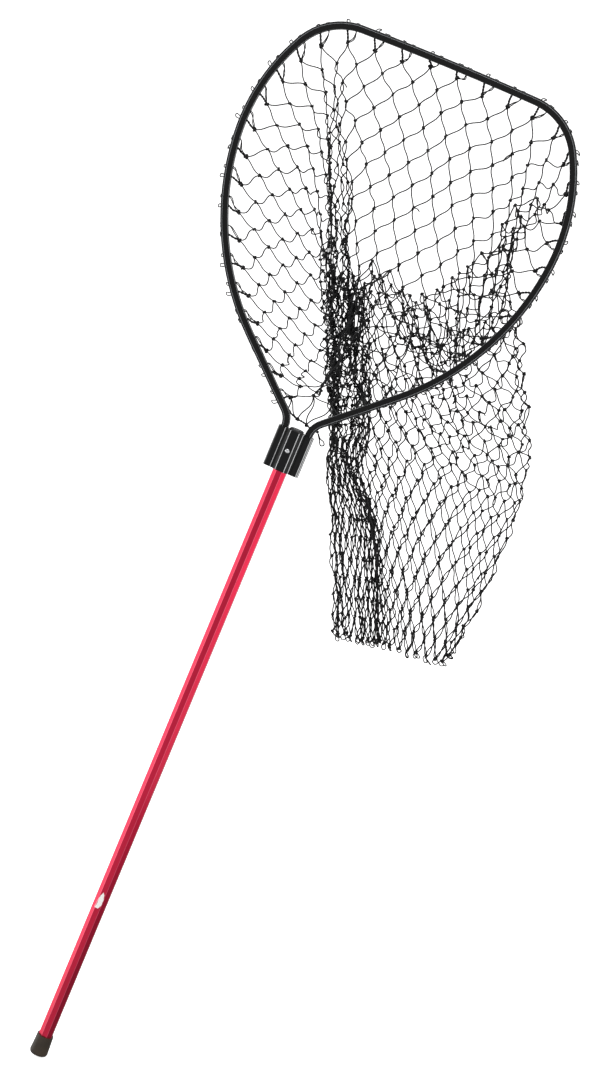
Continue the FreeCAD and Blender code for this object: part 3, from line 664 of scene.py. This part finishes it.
def hang_net(steps=3500, tick=0.002, pull=0.02):
    """Lays every knot near its guide, then lets gravity and the twine's fixed length settle it.
    Returns the knots and the pairs of knots that bars join."""
    seeded = np.random.default_rng(7)
    straight = np.stack([guide_line(i) for i in range(HANGINGS)], 1)
    aim = straight.copy()
    aim[1::2] = (straight[1::2] + np.roll(straight[1::2], -1, axis=1)) / 2
    aim = aim.reshape(-1, 3)
    jitter = seeded.normal(0, 0.0035, aim.shape)
    jitter[:HANGINGS] = 0
    aim += jitter
    bars = []
    for parity in (0, 1):
        for step in (0, 1):
            pairs = [(knot_number(r, i), knot_number(r + 1, i - step if r % 2 == 0 else i + step))
                     for r in range(parity, LAST, 2) for i in range(HANGINGS)]
            bars.append(np.array(pairs).T)
    beside = [np.array([(knot_number(r, i), knot_number(r, i + 1)) for r in range(ROWS)
                        for i in range(parity, HANGINGS, 2)]).T for parity in (0, 1)]
    laced = np.array([(knot_number(LAST, LEFT_FOLD + k), knot_number(LAST, LEFT_FOLD - k - LAST % 2))
                      for k in range(1, HANGINGS // 2)]).T
    holes = np.array([[on_rim((i + 0.5) * PITCH + s * HOLE_OFFSET, inward=0.0068) for s in (-1, 1)]
                      for i in range(HANGINGS)])
    place = aim + seeded.normal(0, 0.002, aim.shape)
    speed = np.zeros_like(place)
    first = np.arange(HANGINGS)
    for step in range(steps):
        done = step / steps
        drag = 4.0 if done < 0.7 else 10.0
        speed = (speed + np.array(GRAVITY) * tick) * math.exp(-tick * drag)
        moved = place + speed * tick
        moved[HANGINGS:] += (aim[HANGINGS:] - moved[HANGINGS:]) * pull * (1.0 - 0.75 * done)
        for _ in range(3):
            for pair in bars:
                correct(moved, pair, longest=BAR, shortest=LEAST_BAR, ease=0.05)
            for pair in beside:
                correct(moved, pair, shortest=LEAST_GAP, ease=0.1)
            correct(moved, laced, longest=LACING)
            for side, arm in enumerate(ARM_LENGTHS):
                gap = moved[first] - holes[:, side]
                size = np.sqrt((gap * gap).sum(1))
                moved[first] -= gap * (np.maximum(size - arm, 0) / size)[:, None]
            keep_behind(moved)
        speed = (moved - place) / tick
        place = moved
    return place.reshape(ROWS, HANGINGS, 3), bars


knots, bars = hang_net()

# ---------------------------------------------------------------- twine
# Black nylon laid up in tight plies, dull with a few fibres that catch the light. TWINE is half
# its thickness. Each bar keeps its whole length, so one whose knots hang close bows and curls.
TWINE = 0.00115
nylon_twine, tree, surface = material(
    "twisted_nylon_twine", Roughness=0.6, IOR=1.53, Specular_IOR_Level=0.3)
# Plies 0.8 mm apart.
ply = node(tree, "ShaderNodeTexNoise", {"Scale": 1200.0, "Detail": 3.0},
           {"Vector": node(tree, "ShaderNodeTexCoord").outputs["Object"]})
black = node(tree, "ShaderNodeValToRGB", links={"Fac": ply.outputs["Fac"]})
black.color_ramp.elements[0].position = 0.3
black.color_ramp.elements[0].color = colour("#030304")
black.color_ramp.elements[1].position = 0.75
black.color_ramp.elements[1].color = colour("#0E0E10")
tree.links.new(black.outputs["Color"], surface.inputs["Base Color"])
bump = node(tree, "ShaderNodeBump", {"Strength": 0.7, "Distance": 0.0002},
            {"Height": ply.outputs["Fac"]})
tree.links.new(bump.outputs["Normal"], surface.inputs["Normal"])


def tubes(paths, radius, sides=6, closed=False):
    """Round tubes along many paths with the same number of points: array (path, point, xyz)."""
    paths = np.asarray(paths, float)
    count, steps, _ = paths.shape
    if closed:
        ahead = np.roll(paths, -1, axis=1) - np.roll(paths, 1, axis=1)
    else:
        ahead = np.gradient(paths, axis=1)
    ahead /= np.linalg.norm(ahead, axis=2, keepdims=True) + 1e-12
    guide = np.array((0.12, 0.97, 0.2))
    out = np.cross(ahead, guide)
    out /= np.linalg.norm(out, axis=2, keepdims=True) + 1e-12
    other = np.cross(ahead, out)
    angles = 2 * math.pi * np.arange(sides) / sides
    ring = (out[:, :, None] * np.cos(angles)[None, None, :, None]
            + other[:, :, None] * np.sin(angles)[None, None, :, None])
    points = (paths[:, :, None] + ring * radius).reshape(-1, 3)
    spans = steps if closed else steps - 1
    p, s, k = np.meshgrid(np.arange(count), np.arange(spans), np.arange(sides), indexing="ij")
    nxt, turn = (s + 1) % steps, (k + 1) % sides
    corner = lambda step, side: (p * steps + step) * sides + side
    faces = np.stack([corner(s, k), corner(s, turn), corner(nxt, turn), corner(nxt, k)], -1).reshape(-1, 4)
    return points, faces


def join(parts):
    """Puts several (points, faces) pieces together."""
    points, faces, start = [], [], 0
    for p, f in parts:
        points.append(p)
        faces.append(f + start)
        start += len(p)
    return np.vstack(points), np.vstack(faces)


def quad_mesh(name, points, faces):
    """A smooth mesh object of four-sided faces, from arrays."""
    data = bpy.data.meshes.new(name)
    data.vertices.add(len(points))
    data.vertices.foreach_set("co", np.asarray(points, np.float32).ravel())
    data.loops.add(faces.size)
    data.loops.foreach_set("vertex_index", np.asarray(faces, np.int32).ravel())
    data.polygons.add(len(faces))
    data.polygons.foreach_set("loop_start", np.arange(0, faces.size, 4, dtype=np.int32))
    data.polygons.foreach_set("loop_total", np.full(len(faces), 4, np.int32))
    data.update(calc_edges=True)
    data.validate()
    data.polygons.foreach_set("use_smooth", [True] * len(data.polygons))
    made = bpy.data.objects.new(name, data)
    scene.collection.objects.link(made)
    return made


TWINE_LENGTH = 0.0386
BAR_STEPS = 10
rng = np.random.default_rng(23)


def slack_bars(starts, ends, lean, length=TWINE_LENGTH, steps=BAR_STEPS, bow=0.35):
    """Paths from knot to knot with the twine's whole length in them, as the double curve it takes."""
    span = ends - starts
    reach = np.linalg.norm(span, axis=1)
    spare = np.maximum(length - reach, 0.0004)
    along = span / reach[:, None]
    flat = np.cross(along, (0.0, 1.0, 0.0)) + rng.normal(0, 0.2, span.shape)
    flat += np.outer(rng.choice((-1.0, 1.0), len(span)) * np.clip(spare / 0.006, 0, 1.5), (0.0, 1.0, 0.0))
    flat -= (flat * along).sum(1)[:, None] * along
    flat /= np.linalg.norm(flat, axis=1)[:, None]
    swing = np.sqrt(spare * reach) / math.pi
    share = np.clip(bow + rng.normal(0, 0.22, len(span)), 0.0, 0.9)
    single = 2.0 * swing * np.sqrt(share)
    double = swing * np.sqrt(1.0 - share) * lean
    droop = np.cross(along, np.cross((0.0, 0.0, -1.0), along))
    droop /= np.linalg.norm(droop, axis=1)[:, None] + 1e-9
    t = np.linspace(0.0, 1.0, steps)[None, :, None]
    return (starts[:, None] + span[:, None] * t
            + flat[:, None] * (double[:, None, None] * np.sin(2 * math.pi * t))
            + droop[:, None] * (single[:, None, None] * np.sin(math.pi * t)))


flat_knots = knots.reshape(-1, 3)
parts = []
for number, (upper, lower) in enumerate(bars):
    lean = np.full(len(upper), 1.0 if number in (0, 3) else -1.0)
    parts.append(tubes(slack_bars(flat_knots[upper], flat_knots[lower], lean), TWINE))
netting_points, netting_faces = join(parts)
netting = quad_mesh("netting_bars", netting_points, netting_faces)
netting.data.materials.append(nylon_twine)
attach(netting, "hoop_assembly")
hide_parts("net_bag")

# ---------------------------------------------------------------- knots
# Every crossing is a weaver's knot in the same nylon, tied by the netting machine and drawn up
# tight to a lump about three twines across.
KNOT_STEPS = 20
KNOT_SCALE = 0.00088
turn = np.linspace(0.0, 2 * math.pi, KNOT_STEPS, endpoint=False)
one_knot = np.stack([np.sin(turn) + 2 * np.sin(2 * turn), np.cos(turn) - 2 * np.cos(2 * turn),
                     -1.3 * np.sin(3 * turn)], -1) * KNOT_SCALE


def random_turns(count):
    """Rotation matrices, one for each knot, so that no two lie alike."""
    quaternion = rng.normal(size=(count, 4))
    quaternion /= np.linalg.norm(quaternion, axis=1)[:, None]
    w, x, y, z = quaternion.T
    return np.stack([
        np.stack([1 - 2 * (y * y + z * z), 2 * (x * y - z * w), 2 * (x * z + y * w)], -1),
        np.stack([2 * (x * y + z * w), 1 - 2 * (x * x + z * z), 2 * (y * z - x * w)], -1),
        np.stack([2 * (x * z - y * w), 2 * (y * z + x * w), 1 - 2 * (x * x + y * y)], -1)], 1)


knot_size = rng.uniform(0.9, 1.12, len(flat_knots))
knot_size[:HANGINGS] = 1.45
lumps = (np.einsum("nij,kj->nki", random_turns(len(flat_knots)), one_knot) * knot_size[:, None, None]
         + flat_knots[:, None])
knot_points, knot_faces = tubes(lumps, 1.2 * TWINE, sides=5, closed=True)
knotted = quad_mesh("netting_knots", knot_points, knot_faces)
knotted.data.materials.append(nylon_twine)
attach(knotted, "hoop_assembly")

# ---------------------------------------------------------------- rim hangings
# From each first knot a taut, twisted pair of twines runs to one hole in the rail and a slack
# pair to the next. Both go round the cord in the outer groove, where small ears stand out.
RAIL_HALF = 0.0065
LEG_BAR_SLACK = 1.04
CUT_ENDS = 60


def twisted_pair(path, turns, spread):
    """Two strands laid round one another along a path."""
    path = np.asarray(path, float)
    ahead = np.gradient(path, axis=0)
    ahead /= np.linalg.norm(ahead, axis=1)[:, None] + 1e-12
    out = np.cross(ahead, (0.12, 0.97, 0.2))
    out /= np.linalg.norm(out, axis=1)[:, None] + 1e-12
    other = np.cross(ahead, out)
    phase = 2 * math.pi * turns * np.linspace(0, 1, len(path))[:, None]
    swing = out * np.cos(phase) + other * np.sin(phase)
    return [path + swing * spread, path - swing * spread]


def smooth_path(corners, count):
    """A soft curve through a few corners."""
    corners = np.asarray(corners, float)
    given = np.r_[0.0, np.cumsum(np.linalg.norm(np.diff(corners, axis=0), axis=1))]
    slopes = np.gradient(corners, given, axis=0)
    wanted = np.linspace(0, given[-1], count)
    spot = np.clip(np.searchsorted(given, wanted, side="right") - 1, 0, len(given) - 2)
    gap = given[spot + 1] - given[spot]
    t = ((wanted - given[spot]) / gap)[:, None]
    gap = gap[:, None]
    return ((2 * t ** 3 - 3 * t ** 2 + 1) * corners[spot] + (t ** 3 - 2 * t ** 2 + t) * gap * slopes[spot]
            + (3 * t ** 2 - 2 * t ** 3) * corners[spot + 1] + (t ** 3 - t ** 2) * gap * slopes[spot + 1])


arms, loops, ears = [], [], []
for i in range(HANGINGS):
    centre = (i + 0.5) * PITCH
    knot = knots[0, i]
    near, far = centre + HOLE_OFFSET, centre - HOLE_OFFSET
    middle = (on_rim(near, inward=RAIL_HALF) + knot) / 2 + rng.normal(0, 0.0012, 3)
    arms += twisted_pair(smooth_path([on_rim(near, inward=-0.004), on_rim(near, inward=0.002),
                                      on_rim(near, inward=RAIL_HALF), middle, knot], 16),
                         3.0 + rng.normal(0, 0.4), 0.00085)
    inner = on_rim(far, inward=RAIL_HALF)
    middle = (inner + knot) / 2 + (rng.normal(0, 0.002), rng.normal(0, 0.002), -rng.uniform(0.001, 0.005))
    loops += twisted_pair(smooth_path([on_rim(far, inward=-0.004), on_rim(far, inward=0.002), inner,
                                       middle, knot], 16), rng.uniform(0.5, 1.5), 0.0012)
    height = rng.uniform(0.001, 0.008) if i >= 24 else rng.uniform(0.000, 0.0055)
    tilt = rng.uniform(-0.004, 0.004)
    drop = np.array((0.0, rng.uniform(-0.003, 0.004), -0.2 * height))
    for hole, size in ((near, height), (far, 0.3 * height)):
        ear = [on_rim(hole - 0.0018, inward=-0.003), on_rim(hole - 0.0022, inward=-0.0066),
               on_rim(hole - 0.0026 + tilt, inward=-0.0066 - size) + drop,
               on_rim(hole + 0.0014 + tilt, inward=-0.0066 - size) + drop,
               on_rim(hole + 0.0022, inward=-0.0066), on_rim(hole + 0.0018, inward=-0.003)]
        ears.append(smooth_path(ear, 16))

# The lowest twine crosses from leg to leg behind the handle's path, above the plug, tied round
# both legs, with a spare loop left hanging from the right one.
crossing = [(-0.0330, 0.0, 1.2435), (-0.0300, 0.0075, 1.2415), (-0.0180, 0.0150, 1.2360),
            (-0.0090, 0.0185, 1.2325), (0.0, 0.0180, 1.2320), (0.0090, 0.0175, 1.2300),
            (0.0200, 0.0135, 1.2270), (0.0300, 0.0075, 1.2285), (0.0345, 0.0, 1.2290)]
spare_loop = [(0.0340, 0.0065, 1.2260), (0.0400, 0.0080, 1.2170), (0.0470, 0.0085, 1.2080),
              (0.0510, 0.0090, 1.2110), (0.0480, 0.0090, 1.2160), (0.0420, 0.0080, 1.2180),
              (0.0350, 0.0070, 1.2250)]
leg_twines = twisted_pair(smooth_path([held(p) for p in crossing], 48), 9.0, 0.0009)
leg_twines.append(smooth_path([held(p) for p in spare_loop], 48))
leg_knots = [held(p) for p in ((-0.0090, 0.0185, 1.2325), (0.0090, 0.0175, 1.2300),
                               (-0.0265, 0.0085, 1.2405), (0.0300, 0.0090, 1.2275))]
uprights = [(leg_knots[0], knots[1, 37]), (leg_knots[0], knots[0, 37]), (leg_knots[1], knots[1, 37]),
            (leg_knots[1], knots[0, 0]), (leg_knots[2], knots[0, 37])]
for low, high in uprights:
    reach = float(np.linalg.norm(high - low))
    bar = slack_bars(np.array([low]), np.array([high]), np.array([1.0]), length=LEG_BAR_SLACK * reach,
                     steps=48)
    leg_twines.append(bar[0])
leg_lumps = (np.einsum("nij,kj->nki", random_turns(len(leg_knots)), one_knot) * 1.15
             + np.array(leg_knots)[:, None])
hanging_points, hanging_faces = join([
    tubes(np.array(leg_twines), TWINE), tubes(leg_lumps, 1.2 * TWINE, sides=6, closed=True),
    tubes(np.array(arms), 1.2 * TWINE), tubes(np.array(loops), 0.85 * TWINE),
    tubes(np.array(ears), 0.85 * TWINE)])

# Short cut ends stand out from some knots, and the bag's last row is laced front to back with
# small bights, except where the two walls hang apart.
tails = []
for place in flat_knots[rng.choice(np.arange(2 * HANGINGS, len(flat_knots)), CUT_ENDS, replace=False)]:
    side = rng.normal(0, 1, 3) * (0.004, 0.002, 0.002)
    tails.append(smooth_path([place, place + side + (0, 0, -0.002),
                              place + 1.6 * side + (0, 0, -0.007)], 16))
foot = knots[-1]
for i in range(HANGINGS):
    near, far = foot[i], foot[(2 * LEFT_FOLD - i - 1) % HANGINGS]
    if i % 2 or np.linalg.norm(near - far) > 0.03:
        far = near + rng.normal(0, 0.002, 3)
    drop = np.array((rng.normal(0, 0.003), rng.normal(0, 0.0015), -rng.uniform(0.004, 0.013)))
    widen = np.array((rng.uniform(0.002, 0.004), 0.0, 0.3 * drop[2]))
    tails.append(smooth_path([near, near + drop * 0.6 - widen, (near + far) / 2 + drop,
                              far + drop * 0.6 + widen, far], 16))
tail_points, tail_faces = tubes(np.array(tails), TWINE)
cut_tails = quad_mesh("netting_tails", tail_points, tail_faces)
cut_tails.data.materials.append(nylon_twine)
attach(cut_tails, "hoop_assembly")
hangings = quad_mesh("rim_hangings", hanging_points, hanging_faces)
hangings.data.materials.append(nylon_twine)
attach(hangings, "hoop_assembly")
